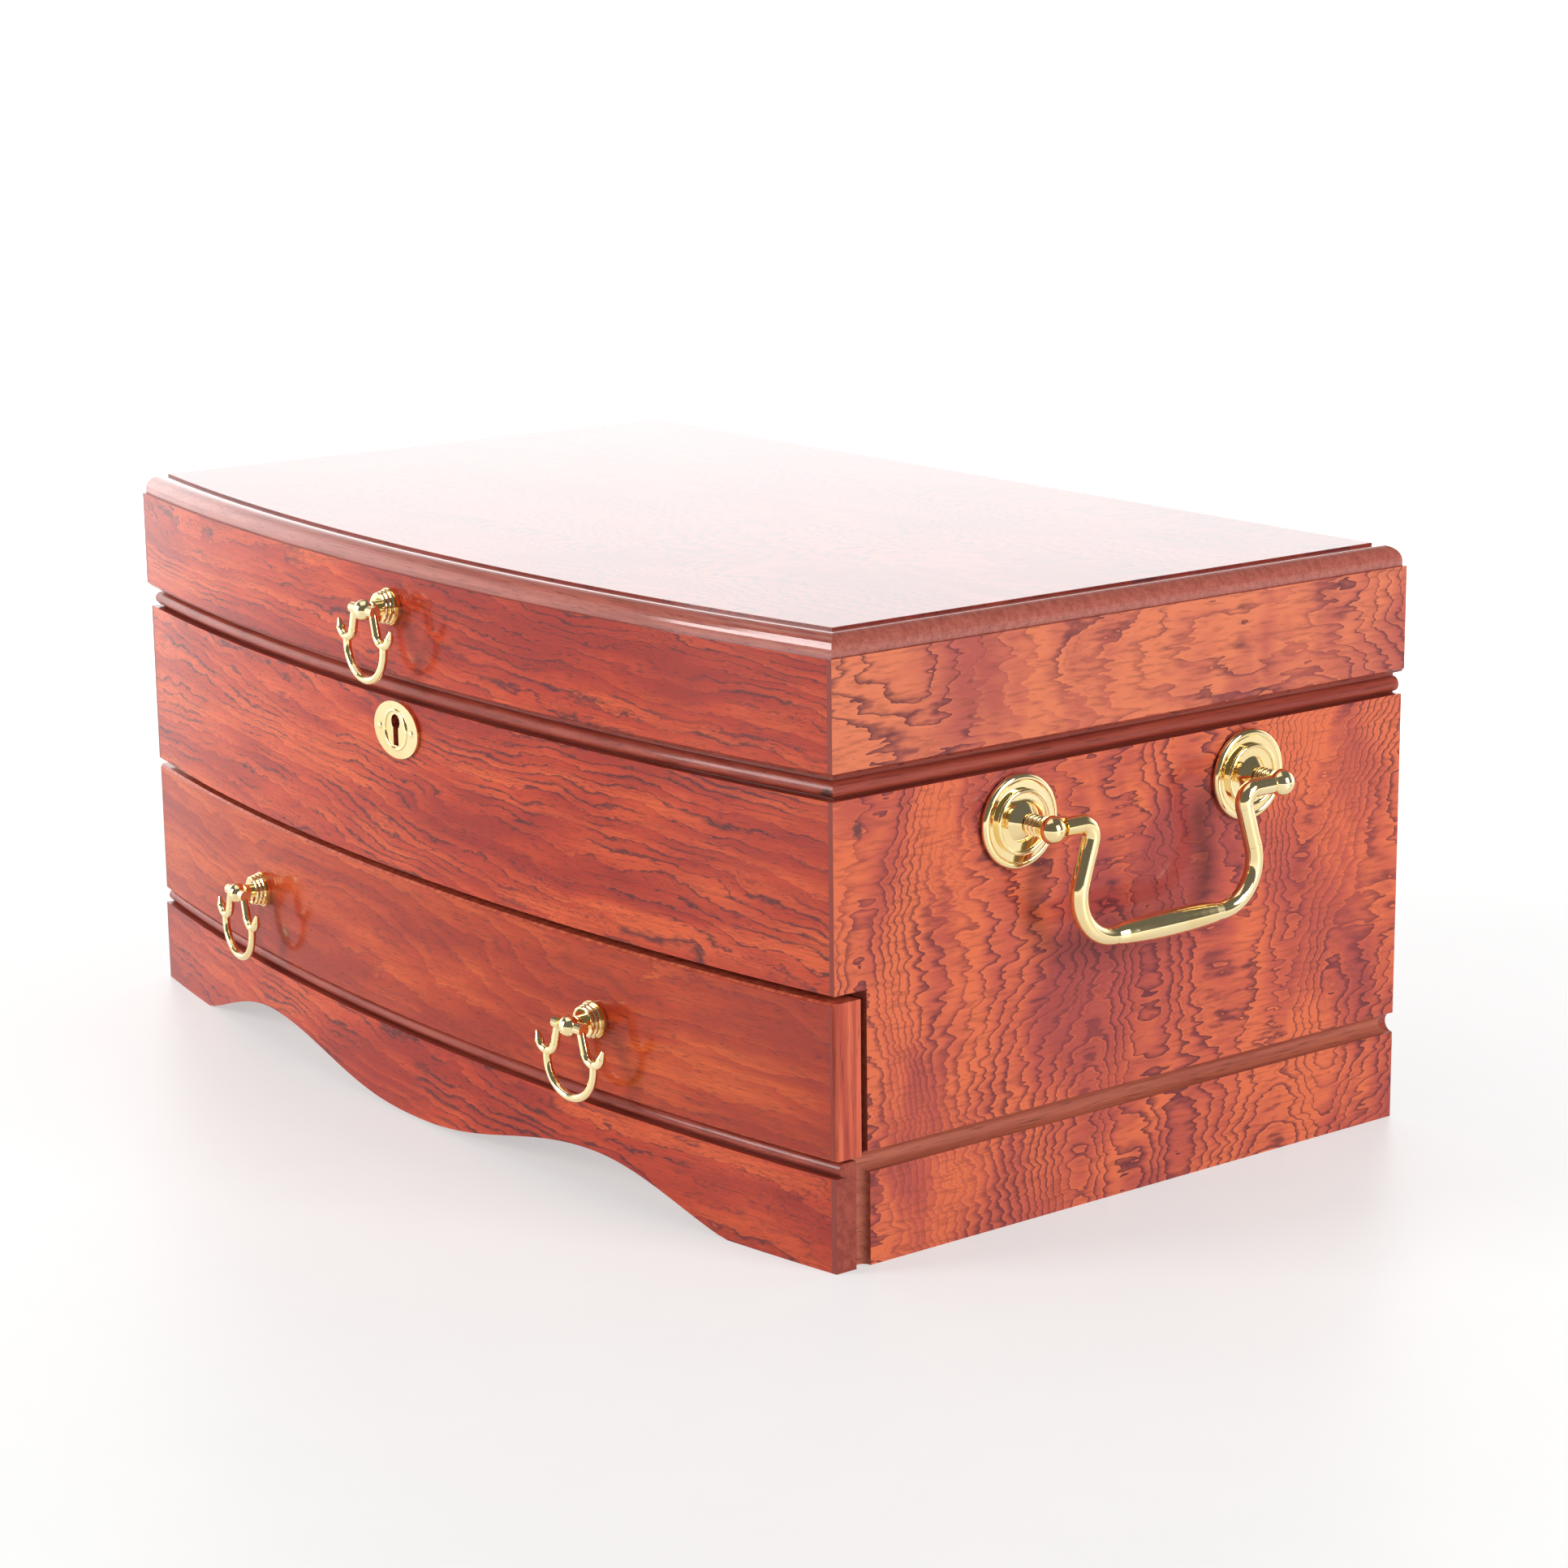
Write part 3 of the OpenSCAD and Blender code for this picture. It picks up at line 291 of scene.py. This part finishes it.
def figured(s, along, up, seed, tone, cells_per_m, lines):
    """Rotary-cut veneer: jagged dark growth rings nested round bright patches, with fine dashes."""
    cells = grain_cells(along, up)
    across = s.dot(tuple(2.2 * lines * along[i] for i in range(3)))
    field = s.noise(cells(*cells_per_m), seed, 0.9, 0.4, 0.35)
    spike = s.noise(cells(38, 210), seed + 1, 2.2, 0.6)
    tick = s.noise(cells(260, 700), seed + 2, 1)
    height = s.math("MULTIPLY_ADD", field, lines, s.math("MULTIPLY_ADD", spike, 2.6, across))
    height = s.math("MULTIPLY_ADD", tick, 0.45, height)
    width = s.math("MULTIPLY_ADD", s.noise(cells(34, 22), seed + 3, 1.5), 1.3, -0.30)
    width = s.math("MAXIMUM", width, 0.08)
    main = ring(s, height, width)
    main = s.math("MULTIPLY", main, s.band(s.noise(cells(22, 14), seed + 4, 2), 0.30, 0.52))
    fine = contour(s, s.math("MULTIPLY_ADD", height, 2.0, 0.41), 0.13)
    fine = s.math("MULTIPLY", fine, s.band(s.noise(cells(34, 26), seed + 5, 1), 0.44, 0.68))
    patch = s.noise(cells(22, 13), seed + 6, 2.5, 0.6, 0.4)
    dash = s.band(s.noise(cells(120, 900), seed + 7, 2), 0.50, 0.68)
    warm, middle, deep = tone
    shade = s.math("MULTIPLY_ADD", s.math("FRACT", height), -0.12, s.math("ADD", patch, 0.05))
    color = s.ramp(shade, (0.38, deep), (0.49, middle), (0.60, warm))
    color = s.mix(s.math("MULTIPLY", dash, 0.4), color, rgb(*(0.5 * c for c in middle)))
    color = s.mix(s.math("MULTIPLY", fine, 0.4), color, SIDE_LINE)
    color = s.mix(s.math("MULTIPLY", main, 0.88), color, SIDE_LINE)
    s.bump(s.math("SUBTRACT", patch, dash), PORE_DEPTH, PORE_STRENGTH)
    return color


def below_bow(s, over):
    """How deep a point lies behind the bowed front, in metres, grown by over."""
    x, y, _ = s.axes()
    rear = s.math("SUBTRACT", y, BOW_AXIS_Y)
    radius = s.math("SQRT", s.math("ADD", s.math("MULTIPLY", x, x), s.math("MULTIPLY", rear, rear)))
    return s.math("SUBTRACT", BOW_R + over, radius)


def below_side(s, over):
    """How deep a point lies inside the nearer side's face, in metres."""
    x = s.axes()[0]
    return s.math("SUBTRACT", SIDE_X + over, s.math("ABSOLUTE", x))


def solid_wood(s, along, seed, light=MOULDING_LIGHT, dark=MOULDING):
    """Plain brown wood for mouldings and boards, its grain along the given axis."""
    cells = tuple(12 if a else 420 for a in along)
    grain = s.noise(cells, seed, 3, 0.6)
    pores = s.band(s.noise(tuple(90 if a else 2200 for a in along), seed + 1, 1), 0.58, 0.7)
    color = s.mix(s.band(grain, 0.3, 0.7), dark, light)
    return s.mix(s.math("MULTIPLY", pores, 0.4), color, WOOD_PORE)


def skinned(s, veneer, depth, wood):
    """Veneer on the face only; wood shows wherever the surface is cut back from it."""
    return s.mix(s.band(depth, 0.10 * MM, 0.22 * MM), veneer, wood)


def spot(s, color, middle, size, seed, tint, amount):
    """A ragged patch of tint, of the given half sizes round a point."""
    factors = tuple(1 / width for width in size)
    offset = tuple(-m / width for m, width in zip(middle, size))
    far = s.length(s.scaled(factors, offset))
    ragged = s.math("MULTIPLY_ADD", s.noise((500, 500, 700), seed, 3, 0.6), 1.2, far)
    return s.mix(s.math("MULTIPLY", s.band(ragged, 1.5, 1.0), amount), color, tint)


def edge_painted_shade(s, color, z, seed):
    """Dark flecks of painted shade along a level edge at height z, for the shaded gap under the lid."""
    near = s.band(s.axes()[2], z + EDGE_SHADE_REACH, z + 0.3 * EDGE_SHADE_REACH)
    shade_flecks = s.band(s.noise((330, 330, 900), seed, 2, 0.6), 0.56, 0.66)
    return s.mix(s.math("MULTIPLY", s.math("MULTIPLY", near, shade_flecks), 0.75), color, EDGE_SHADE_FLECK)


def edge_band(s, color, over):
    """The eased brown strip along each upright front corner."""
    x = s.math("ABSOLUTE", s.axes()[0])
    start = SIDE_X + over - CORNER_STRIP
    return s.mix(s.band(x, start - 0.3 * MM, start), color, MOULDING)


def front_material(name, seed, over=0.0, tone=FRONT_TONE, lines=1.0,
                   under=(MOULDING_LIGHT, MOULDING), end_grain=X_AXIS, shaded_edge_z=0.0):
    """Veneer on the bowed front; under is the bare wood's light and dark, and the last argument is the
    height of an edge that gets flecks of painted shade.
    """
    s = Shader(name)
    lacquer(s)
    veneer = streaked(s, X_AXIS, Z_AXIS, seed, tone, lines)
    veneer = edge_band(s, veneer, over)
    wood = solid_wood(s, end_grain, seed + 20, *under)
    color = skinned(s, veneer, below_bow(s, over), wood)
    if shaded_edge_z:
        color = edge_painted_shade(s, color, shaded_edge_z, seed + 40)
    # Painted shade: a near-black patch on the bead's underside at the right front corner, under the lid.
    color = spot(s, color, (SIDE_X - 3 * MM, CORNER_Y, BEAD_Z + 2 * MM), (5 * MM, 3 * MM, 2.2 * MM),
                 seed + 41, CORNER_PAINTED_SHADE, 0.8)
    s.set(Base_Color=color)
    return s.material


def side_material(name, seed, over=0.0, tone=SIDE_TONE_AND_SHEEN, cells=(15, 6.5), lines=34.0, shaded_edge_z=0.0):
    """Veneer on a flat side; cells and lines set the size and the number of its loops."""
    s = Shader(name)
    lacquer(s)
    veneer = figured(s, Y_AXIS, Z_AXIS, seed, tone, cells, lines)
    bead = solid_wood(s, Y_AXIS, seed + 20)
    # Below the rim bead the cut-back wood is painted lighter, as painted light on the upward-facing cove.
    painted_lit_cove = solid_wood(s, Y_AXIS, seed + 30, COVE_PAINTED_LIT_LIGHT, COVE_PAINTED_LIT)
    wood = s.mix(s.band(s.axes()[2], BEAD_Z - 1 * MM, BEAD_Z), painted_lit_cove, bead)
    color = skinned(s, veneer, below_side(s, over), wood)
    # Painted shade: dark flecks along the lid's lower edge.
    if shaded_edge_z:
        color = edge_painted_shade(s, color, shaded_edge_z, seed + 40)
    else:
        color = spot(s, color, (SIDE_X, CORNER_Y + 9 * MM, BEAD_Z - 9 * MM),
                     (2 * MM, 2.6 * MM, 3.4 * MM), seed + 41, SIDE_MARK, 0.85)
    s.set(Base_Color=color)
    return s.material


# The lid top's veneer, in a tone darkened as painted shade.
def shaded_top_material():
    s = Shader("veneer_top_painted_shade")
    lacquer(s, 0.55, 1.42)
    s.set(Base_Color=figured(s, Y_AXIS, X_AXIS, 41, SHADED_TOP_TONE, (15, 5), 24.0))
    return s.material


def board_material(name, along, seed, light=MOULDING_LIGHT, dark=MOULDING, gloss=0.5):
    s = Shader(name)
    lacquer(s, gloss, 1.5)
    s.set(Base_Color=solid_wood(s, along, seed, light, dark))
    return s.material


# ---- Metal, mirror and suede ----

def brass_material():
    s = Shader("polished_brass")
    haze = s.noise((900, 900, 900), 3, 3, 0.6)
    patina = s.noise((60, 60, 60), 4, 2)
    s.set(Base_Color=s.mix(s.band(patina, 0.35, 0.7), rgb(0.96, 0.80, 0.46), rgb(0.92, 0.72, 0.36)),
          Metallic=1.0, Roughness=s.math("MULTIPLY_ADD", haze, 0.05, 0.055))
    s.bump(haze, 0.02 * MM, 0.15)
    return s.material


def mirror_material():
    s = Shader("silvered_glass")
    dust = s.band(s.noise((1400, 1400, 1400), 5, 2), 0.62, 0.75)
    s.set(Base_Color=s.mix(s.math("MULTIPLY", dust, 0.1), rgb(0.88, 0.90, 0.91), rgb(0.7, 0.72, 0.74)),
          Metallic=1.0, Roughness=s.math("MULTIPLY_ADD", dust, 0.08, 0.015))
    return s.material


def suede_material():
    s = Shader("suede")
    pile = s.noise((2600, 2600, 2600), 6, 3, 0.7)
    nap = s.noise((45, 45, 30), 7, 3, 0.6)
    color = s.ramp(nap, (0.3, (0.016, 0.018, 0.045)), (0.55, (0.026, 0.029, 0.070)),
                   (0.75, (0.042, 0.046, 0.10)))
    s.set(Base_Color=s.mix(s.band(pile, 0.35, 0.8), color, rgb(0.055, 0.06, 0.13)),
          Roughness=0.95, Sheen_Weight=0.6, Sheen_Roughness=0.4, Sheen_Tint=rgb(0.5, 0.55, 0.9),
          Specular_IOR_Level=0.15)
    s.bump(pile, 0.3 * MM, 0.5)
    return s.material


def dress(material, *nodes):
    """Gives CAD nodes their material."""
    for name in nodes:
        slots = NODES[name].data.materials
        slots.clear()
        slots.append(material)


def dress_all():
    """Every node's material; each material's number seeds its noise."""
    dress(front_material("veneer_front_panel", 1.0), "front_panel")
    dress(front_material("veneer_lid_front", 11.0, LID_OVER, shaded_edge_z=LID_Z), "lid_front_rail")
    dress(front_material("veneer_apron", 21.0), "base_apron")
    dress(front_material("veneer_drawer", 31.0, tone=DRAWER_TONE, lines=0.35,
                         under=(DRAWER_END_LIGHT, DRAWER_END), end_grain=Z_AXIS), "drawer_front")
    dress(side_material("veneer_side_and_sheen", 51.0), "left_side_panel", "right_side_panel")
    dress(side_material("veneer_lid_side", 61.0, LID_OVER, LID_SIDE_TONE, (9, 14), 22.0, LID_Z),
          "lid_left_rail", "lid_right_rail")
    dress(shaded_top_material(), "lid_veneer")
    dress(board_material("mahogany_x", X_AXIS, 71.0), "back_panel", "bottom_panel", "compartment_floor",
          "lip_front", "lip_back", "lid_back_rail", "mirror_frame", "drawer_back",
          "drawer_bottom", "drawer_stops")
    dress(board_material("mahogany_y", Y_AXIS, 73.0), "lip_left", "lip_right", "drawer_left_side",
          "drawer_right_side")
    # Painted light: the quarter round is the moulding's wood in lighter colours.
    dress(board_material("quarter_round_painted_light", X_AXIS, 75.0, QUARTER_ROUND_PAINTED_LIT_LIGHT, QUARTER_ROUND_PAINTED_LIT, 1.0),
          "lid_top_board")
    suede = suede_material()
    dress(suede, "compartment_lining", "lid_lining", "drawer_lining", *DIVIDER_NODES, *ROLL_NODES)
    soften_edges(DIVIDER_NODES)
    ring_rolls(suede)
    dress(mirror_material(), "mirror")
    brass = brass_material()
    for entry in frame["record"]["subparts"]:
        if entry["material_slot"] == "gold":
            dress(brass, entry["node"])


# ---- Soft pieces ----

ROLL_NODES = ("ring_roll_1", "ring_roll_2", "ring_roll_3", "ring_roll_4", "ring_roll_5")
DIVIDER_NODES = ("long_divider", "front_dividers", "back_dividers")
ROLL_RINGS = 56           # sections along a ring roll
ROLL_AROUND = 28          # points round each section
ROLL_LENGTH = 0.985       # of its CAD box
ROLL_FULLNESS = 0.93      # of its CAD radius, before it is stuffed
ROLL_LIFT = 0.15 * MM     # of the flat under a roll
VOXEL = 4 * MM
PRESSURE = 4
STUFFING_FRAMES = 20
STUFFING_CAP = 1.5 * MM
WRAP_R = 0.9 * MM         # width of the suede's soft edge


def mesh_piece(name, mesh, material, body):
    """A shown piece of the chest, riding its body."""
    made = bpy.data.objects.new(name, mesh)
    bpy.context.scene.collection.objects.link(made)
    mesh.materials.append(material)
    mesh.shade_smooth()
    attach(made, body)
    return made


def roll_shape(low, high, seed):
    """A tube between two corners: flat where it lies, domed at its ends and a little slack between."""
    radius_y = (high.y - low.y) / 2
    middle_y = (high.y + low.y) / 2
    middle_z = high.z - radius_y
    shape = bmesh.new()
    sections = []
    for i in range(ROLL_RINGS + 1):
        share = -math.cos(math.pi * i / ROLL_RINGS)
        x = (low.x + high.x) / 2 + share * (high.x - low.x) / 2 * ROLL_LENGTH
        dome = (1 - abs(share) ** 26) ** 0.5
        slack = (ROLL_FULLNESS + 0.018 * math.sin(9 * share + seed)
                 + 0.010 * math.sin(23 * share + 2.3 * seed))
        radius = radius_y * max(dome, 0.02) * slack
        section = []
        for k in range(ROLL_AROUND):
            angle = 2 * math.pi * k / ROLL_AROUND
            z = max(middle_z + radius * math.sin(angle), low.z + ROLL_LIFT)
            section.append(shape.verts.new((x, middle_y + radius * math.cos(angle), z)))
        sections.append(section)
    for a, b in zip(sections, sections[1:]):
        for k in range(ROLL_AROUND):
            n = (k + 1) % ROLL_AROUND
            shape.faces.new((a[k], a[n], b[n], b[k]))
    shape.faces.new(list(reversed(sections[0])))
    shape.faces.new(sections[-1])
    bmesh.ops.recalc_face_normals(shape, faces=shape.faces)
    mesh = bpy.data.meshes.new("roll_shape")
    shape.to_mesh(mesh)
    shape.free()
    return mesh


def settled(obj):
    """The object's mesh with its modifiers applied, as a new mesh."""
    graph = bpy.context.evaluated_depsgraph_get()
    return bpy.data.meshes.new_from_object(obj.evaluated_get(graph), depsgraph=graph)


def stuffed(mesh, low, high):
    """The mesh blown up a little as cloth, with each point's move capped and kept between two corners."""
    scene = bpy.context.scene
    work = bpy.data.objects.new("stuffing", mesh)
    scene.collection.objects.link(work)
    remesh = work.modifiers.new("voxels", "REMESH")
    remesh.mode = "VOXEL"
    remesh.voxel_size = VOXEL
    start = settled(work)
    work.modifiers.clear()
    work.data = start
    cloth = work.modifiers.new("cloth", "CLOTH")
    cloth.settings.quality = 5
    cloth.settings.use_pressure = True
    cloth.settings.uniform_pressure_force = PRESSURE
    cloth.settings.effector_weights.gravity = 0
    for number in range(1, STUFFING_FRAMES + 1):
        scene.frame_set(number)
        bpy.context.view_layer.update()
    blown = settled(work)
    work.modifiers.clear()
    scene.frame_set(1)
    for before, after in zip(start.vertices, blown.vertices):
        move = after.co - before.co
        if move.length > STUFFING_CAP:
            move *= STUFFING_CAP / move.length
        before.co += move
    for vertex in start.vertices:
        for axis in range(3):
            vertex.co[axis] = min(max(vertex.co[axis], low[axis]), high[axis])
    bpy.data.objects.remove(work)
    return start


def ring_rolls(material):
    """A stuffed suede roll in place of each CAD roll."""
    for number, node in enumerate(ROLL_NODES, 1):
        low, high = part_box(node)
        mesh = stuffed(roll_shape(low, high, number), low, high)
        roll = mesh_piece("ring_roll_pad_%d" % number, mesh, material, "chest")
        smooth = roll.modifiers.new("soften", "SUBSURF")
        smooth.levels = smooth.render_levels = 1
        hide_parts(node)


def soften_edges(names):
    """Suede wraps over a board's edges, so none of them is sharp."""
    for name in names:
        soft = NODES[name].modifiers.new("wrapped edge", "BEVEL")
        soft.width = WRAP_R
        soft.segments = 3
        soft.limit_method = "ANGLE"
        soft.angle_limit = math.radians(40)


# ---- Studio ----

VIEW_AZIMUTH = math.radians(52.731)
VIEW_ELEVATION = math.radians(13.29)
VIEW_ROLL = math.radians(-0.679)
VIEW_FROM = Vector((1.00035, -0.72668, 0.38575))
LENS_MM = 85.71
SENSOR_MM = 36
FLOOR_R = 6.0
LIGHT_AIM = (0, 0, 0.09)
HORIZON_GLOW = 2.75       # brightness low behind the chest, over the room's
ROOM_GLOW = 0.15


def view_axes():
    """The camera's right, up and forward directions."""
    forward = Vector((-math.sin(VIEW_AZIMUTH) * math.cos(VIEW_ELEVATION),
                      math.cos(VIEW_AZIMUTH) * math.cos(VIEW_ELEVATION), -math.sin(VIEW_ELEVATION)))
    level = Vector((math.cos(VIEW_AZIMUTH), math.sin(VIEW_AZIMUTH), 0))
    upright = level.cross(forward)
    right = math.cos(VIEW_ROLL) * level + math.sin(VIEW_ROLL) * upright
    return right, right.cross(forward), forward


def camera():
    right, up, forward = view_axes()
    data = bpy.data.cameras.new("camera")
    data.sensor_width = SENSOR_MM
    data.lens = LENS_MM
    data.clip_start = 0.05
    made = bpy.data.objects.new("camera", data)
    bpy.context.scene.collection.objects.link(made)
    made.matrix_world = Matrix((
        (right.x, up.x, -forward.x, VIEW_FROM.x),
        (right.y, up.y, -forward.y, VIEW_FROM.y),
        (right.z, up.z, -forward.z, VIEW_FROM.z),
        (0, 0, 0, 1)))
    bpy.context.scene.camera = made


def softbox(name, place, size, watts):
    """A rectangular light at a place, aimed at the chest."""
    data = bpy.data.lights.new(name, "AREA")
    data.shape = "RECTANGLE"
    data.size, data.size_y = size
    data.energy = watts
    made = bpy.data.objects.new(name, data)
    bpy.context.scene.collection.objects.link(made)
    made.location = place
    made.rotation_mode = "QUATERNION"
    made.rotation_quaternion = (Vector(LIGHT_AIM) - Vector(place)).to_track_quat("-Z", "Y")


def floor():
    """A pale sweep that brightens to white away from the chest."""
    mesh = bpy.data.meshes.new("floor")
    shape = bmesh.new()
    bmesh.ops.create_circle(shape, cap_ends=True, segments=96, radius=FLOOR_R)
    shape.to_mesh(mesh)
    shape.free()
    made = bpy.data.objects.new("floor", mesh)
    bpy.context.scene.collection.objects.link(made)
    s = Shader("studio_floor")
    far = s.band(s.length(s.place), 0.4, 1.6)
    behind = s.band(s.dot(view_axes()[2]), 0.1, 0.9)
    grain = s.noise((40, 40, 40), 9, 2)
    glow = s.math("MULTIPLY_ADD", behind, 0.7, s.math("MULTIPLY_ADD", far, 0.4, 0.50))
    s.set(Base_Color=s.mix(grain, rgb(0.38, 0.38, 0.375), rgb(0.40, 0.40, 0.395)), Roughness=0.45,
          Specular_IOR_Level=0.25, Emission_Color=rgb(1, 1, 1), Emission_Strength=glow)
    mesh.materials.append(s.material)


def world():
    """A room that is bright near the horizon behind the chest, and dim above and on the camera's side."""
    made = bpy.data.worlds.new("studio")
    bpy.context.scene.world = made
    made.use_nodes = True
    tree = made.node_tree
    tree.nodes.clear()

    def link(a, b):
        tree.links.new(a, b)

    place = tree.nodes.new("ShaderNodeTexCoord")
    back = tree.nodes.new("ShaderNodeVectorMath")
    back.operation = "DOT_PRODUCT"
    link(place.outputs["Generated"], back.inputs[0])
    forward = view_axes()[2]
    back.inputs[1].default_value = Vector((forward.x, forward.y, 0)).normalized()
    height = tree.nodes.new("ShaderNodeSeparateXYZ")
    link(place.outputs["Generated"], height.inputs[0])

    def mapped(value, low, high, bottom, top):
        node = tree.nodes.new("ShaderNodeMapRange")
        node.interpolation_type = "SMOOTHSTEP"
        link(value, node.inputs["Value"])
        for key, number in (("From Min", low), ("From Max", high), ("To Min", bottom), ("To Max", top)):
            node.inputs[key].default_value = number
        return node.outputs[0]

    behind = mapped(back.outputs["Value"], -0.1, 0.75, 0.0, 1.0)
    low = mapped(height.outputs["Z"], 0.22, 0.62, 1.0, 0.0)
    glow = tree.nodes.new("ShaderNodeMath")
    glow.operation = "MULTIPLY"
    link(behind, glow.inputs[0])
    link(low, glow.inputs[1])
    total = tree.nodes.new("ShaderNodeMath")
    total.operation = "MULTIPLY_ADD"
    link(glow.outputs[0], total.inputs[0])
    total.inputs[1].default_value = HORIZON_GLOW
    total.inputs[2].default_value = ROOM_GLOW
    shade = tree.nodes.new("ShaderNodeBackground")
    shade.inputs["Color"].default_value = (1, 1, 1, 1)
    link(total.outputs[0], shade.inputs["Strength"])
    output = tree.nodes.new("ShaderNodeOutputWorld")
    link(shade.outputs[0], output.inputs["Surface"])


def studio():
    world()
    floor()
    softbox("top_light", (-0.15, -0.25, 1.5), (1.5, 1.1), 5)
    softbox("front_light", (-0.75, -1.75, 0.75), (0.8, 1.1), 33)
    softbox("side_light", (1.9, 0.55, 0.8), (0.8, 1.1), 32)
    camera()
    bpy.context.scene.view_settings.view_transform = "Standard"


dress_all()
studio()
